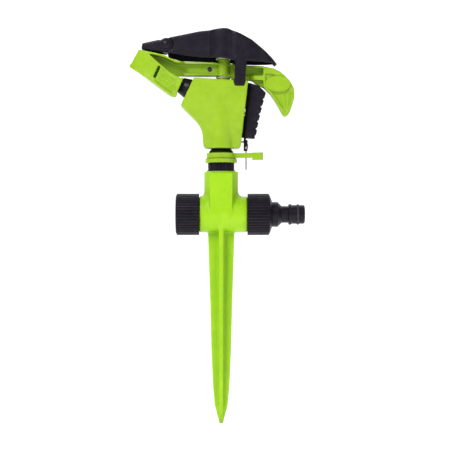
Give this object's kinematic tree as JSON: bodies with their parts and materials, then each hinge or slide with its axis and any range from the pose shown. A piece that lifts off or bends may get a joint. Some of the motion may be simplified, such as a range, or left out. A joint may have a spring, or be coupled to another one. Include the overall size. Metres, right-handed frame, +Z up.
{
  "type": "impact sprinkler",
  "caption": "Part-circle impact lawn sprinkler on a four-fin ground spike, with water tee, snap-in hose inlet, turning head, hammer arm, stop rings and trip lever.",
  "frame": {"origin": "on the stem's axis at the ground line, where the spike's fins meet the tee", "axes": "+Z up along the stem, +X towards the hose inlet, jet leaves up and towards -X"},
  "size_m": [0.1437, 0.052, 0.3223],
  "materials": {
    "base_green": "satin moulded plastic, bright lime",
    "head_green": "satin moulded plastic, yellow-green",
    "black_plastic": "fine-grained charcoal plastic",
    "rubber": "matte seal rubber",
    "nylon": "natural nylon",
    "steel": "drawn stainless wire and pin"
  },
  "bodies": {
    "base": {"base_spike": "base_green", "end_cap": "black_plastic", "end_cap_washer": "rubber", "inlet_adaptor": "black_plastic", "inlet_washer": "rubber", "spigot_o_ring": "rubber", "bearing_nipple": "black_plastic", "nipple_gasket": "rubber"},
    "lower_ring": {"lower_stop_ring": "head_green"},
    "upper_ring": {"upper_stop_ring": "head_green"},
    "head": {"stem_collar": "black_plastic", "bearing_stem": "black_plastic", "stem_spring": "steel", "spring_washer": "nylon", "thrust_washer": "nylon", "seal_washer": "rubber", "head_body": "head_green", "nozzle": "black_plastic", "nozzle_o_ring": "rubber", "top_cover": "black_plastic", "flap_pin": "black_plastic", "fulcrum_pin": "steel", "arm_spring": "steel", "upper_hub_washer": "nylon", "lower_hub_washer": "nylon", "upper_lever_pin": "steel", "lower_lever_pin": "steel", "trip_spring": "steel", "trip_pivot": "steel"},
    "flap": {"nose_flap": "black_plastic"},
    "arm": {"hammer_arm": "head_green", "weight_slug": "steel", "weight_cover": "head_green"},
    "lever": {"trip_lever": "black_plastic"},
    "pin": {"trip_pin": "black_plastic", "wire_rivet": "steel"},
    "wire": {"trip_wire": "steel"}
  },
  "joints": [
    {"name": "head_spin", "type": "hinge", "parent": "base", "child": "head", "pos_m": [0, 0, 0.06], "axis": [0, 0, 1], "continuous": true},
    {"name": "lower_stop_turn", "type": "hinge", "parent": "base", "child": "lower_ring", "pos_m": [0, 0, 0.059], "axis": [0, 0, 1], "continuous": true},
    {"name": "upper_stop_turn", "type": "hinge", "parent": "base", "child": "upper_ring", "pos_m": [0, 0, 0.063], "axis": [0, 0, 1], "continuous": true},
    {"name": "arm_swing", "type": "hinge", "parent": "head", "child": "arm", "pos_m": [0.0018, 0, 0.13], "axis": [0, 0, 1], "range_deg": [0, 23], "stiffness_Nm_per_rad": 0.06, "springref_deg": -28.65, "deforming": ["arm_spring"]},
    {"name": "trip_pin_rock", "type": "hinge", "parent": "head", "child": "pin", "pos_m": [0.0204, 0, 0.0747], "axis": [1, 0, 0], "range_deg": [-10, 10]},
    {"name": "trip_lever_flip", "type": "hinge", "parent": "head", "child": "lever", "pos_m": [0.02058, 0, 0.06974], "axis": [0.1085, 0, 0.9941], "range_deg": [-12.5, 12.5], "deforming": ["trip_spring"]},
    {"name": "wire_fold", "type": "hinge", "parent": "pin", "child": "wire", "pos_m": [0.0204, 0, 0.0697], "axis": [0, -1, 0], "range_deg": [0, 100]},
    {"name": "flap_lift", "type": "hinge", "parent": "head", "child": "flap", "pos_m": [-0.0447, 0, 0.1538], "axis": [0, 1, 0], "range_deg": [0, 70]}
  ],
  "couplings": [
    {"joint": "trip_lever_flip", "follows": "trip_pin_rock", "ratio": 1.2}
  ]
}
